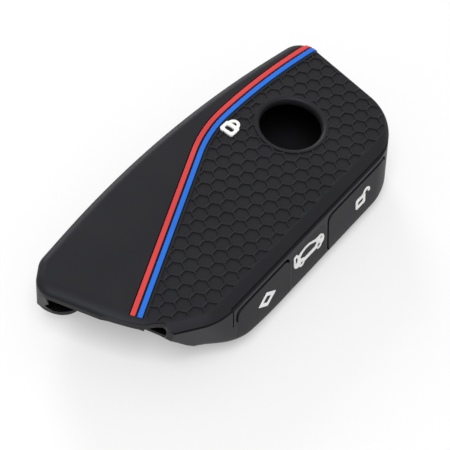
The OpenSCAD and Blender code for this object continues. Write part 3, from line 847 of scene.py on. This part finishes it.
BLACK = silicone("cover_black", (0.0075, 0.0075, 0.0085), (0.0105, 0.0105, 0.0115),
                 roughness=0.47, specular=0.2, tint=(0.84, 0.86, 1))
# The pads are the same black silicone as the cover. This lighter, greyer copy of its black is
# painted light, standing in for the light that falls on the side wall.
PAD_PAINTED_LIT_BLACK = silicone("pad_grey", (0.010, 0.010, 0.0115), (0.0135, 0.0135, 0.015),
                    roughness=0.5, specular=0.15, tint=(0.9, 0.88, 1))
RED = silicone("stripe_red", (0.60, 0.035, 0.035), (0.70, 0.05, 0.045),
               roughness=0.45, specular=0.4, grain=0.1)
BLUE = silicone("stripe_blue", (0.003, 0.13, 0.62), (0.005, 0.16, 0.74),
                roughness=0.45, specular=0.4, grain=0.1)
WHITE = silicone("sign_white", (0.88, 0.88, 0.87), (0.93, 0.93, 0.92),
                 roughness=0.5, specular=0.4, grain=0.1)

make_cover(BLACK)
make_stripe("red_stripe_skin", RED_FROM, RED)
make_stripe("blue_stripe_skin", BLUE_FROM, BLUE)
for pad in PADS:
    make_pad(pad, PAD_PAINTED_LIT_BLACK)
make_sign("lock_sign", "cover", closed_padlock(), LOCK_PLACE, ON_TOP, WHITE)
make_sign("locate_sign", "locate_button", rhombus(),
          (LOCATE_Y + LOCATE_SIGN_IN, LOCATE_SIGN_Z), ON_SIDE, WHITE)
make_sign("boot_sign", "boot_button", car(), (BOOT_Y + BOOT_PAD_L / 2, BOOT_SIGN_Z), ON_SIDE,
          WHITE)
make_sign("unlock_sign", "unlock_button", open_padlock(),
          (UNLOCK_Y + UNLOCK_SIGN_IN, UNLOCK_SIGN_Z), ON_SIDE, WHITE)


# Floor, lights, world and camera, in metres and watts
FLOOR_HALF = 3.0
FLOOR_GREY = 0.96
FLOOR_ROUGHNESS = 0.7
FLOOR_SPECULAR = 0.2
FLOOR_WHITE = 0.35
WORLD_STRENGTH = 0.42
KEY_LIGHT = ("key", (0.15, -0.35, 1.0), 0.5, 6.8)
BACK_LIGHT = ("back", (-0.8, 0.5, 0.4), 0.38, 3.4)
CAMERA_PLACE = (0.09262, -0.16270, 0.25654)
CAMERA_SENSOR = 36
CAMERA_LENS = 118
CAMERA_RANGE = (0.01, 20)


def seen_ray(nodes, links):
    """1 on the rays that show the background: the camera's, mirrored and refracted ones."""
    path = nodes.new("ShaderNodeLightPath")
    found = path.outputs["Is Camera Ray"]
    for kind in ("Is Glossy Ray", "Is Transmission Ray"):
        found = math_node(nodes, links, "MAXIMUM", found, path.outputs[kind])
    return found


def mix_shaders(nodes, links, share, first, second, end):
    mixed = nodes.new("ShaderNodeMixShader")
    for out, socket in zip((share, first.outputs[0], second.outputs[0]), mixed.inputs):
        links.new(out, socket)
    links.new(mixed.outputs[0], end.inputs["Surface"])


def make_floor():
    """A pale floor that shows almost white, and that keeps the shadow."""
    half = FLOOR_HALF
    floor = make("floor", [(-half, -half, 0), (half, -half, 0), (half, half, 0),
                           (-half, half, 0)], [[0, 1, 2, 3]])
    material, nodes, links = new_material("pale_floor")
    shader = nodes["Principled BSDF"]
    shader.inputs["Base Color"].default_value = (FLOOR_GREY, FLOOR_GREY, FLOOR_GREY, 1)
    shader.inputs["Roughness"].default_value = FLOOR_ROUGHNESS
    shader.inputs["Specular IOR Level"].default_value = FLOOR_SPECULAR
    glow = nodes.new("ShaderNodeEmission")
    glow.inputs["Color"].default_value = (1, 1, 1, 1)
    share = math_node(nodes, links, "MULTIPLY", seen_ray(nodes, links), FLOOR_WHITE)
    mix_shaders(nodes, links, share, shader, glow, nodes["Material Output"])
    floor.data.materials.append(material)


def area_light(name, place, size, power):
    """A square lamp that points at the frame's origin."""
    light = bpy.data.lights.new(name, "AREA")
    light.shape, light.size, light.energy = "SQUARE", size, power
    obj = bpy.data.objects.new(name, light)
    obj.location = place
    obj.rotation_mode = "QUATERNION"
    obj.rotation_quaternion = (-Vector(place)).to_track_quat("-Z", "Y")
    bpy.context.scene.collection.objects.link(obj)


def make_world():
    """Even white light; rays that show the background past the floor see plain white."""
    world = bpy.data.worlds.new("studio")
    bpy.context.scene.world = world
    world.use_nodes = True
    nodes, links = world.node_tree.nodes, world.node_tree.links
    light, seen = nodes["Background"], nodes.new("ShaderNodeBackground")
    for node, strength in ((light, WORLD_STRENGTH), (seen, 1)):
        node.inputs["Color"].default_value = (1, 1, 1, 1)
        node.inputs["Strength"].default_value = strength
    mix_shaders(nodes, links, seen_ray(nodes, links), light, seen, nodes["World Output"])


def make_camera():
    """The camera's place and turn come from fitting the photograph's honeycomb."""
    right = Vector((0.78685, 0.60853, 0.10275))
    down = Vector((0.54178, -0.60140, -0.58718))
    ahead = Vector((-0.29553, 0.51769, -0.80291))
    data = bpy.data.cameras.new("camera")
    data.sensor_width, data.lens = CAMERA_SENSOR, CAMERA_LENS
    data.clip_start, data.clip_end = CAMERA_RANGE
    camera = bpy.data.objects.new("camera", data)
    turn = Matrix((right, -down, -ahead)).transposed().to_4x4()
    camera.matrix_world = Matrix.Translation(CAMERA_PLACE) @ turn
    bpy.context.scene.collection.objects.link(camera)
    bpy.context.scene.camera = camera


make_floor()
make_world()
area_light(*KEY_LIGHT)
area_light(*BACK_LIGHT)
make_camera()
bpy.context.scene.view_settings.view_transform = "Standard"
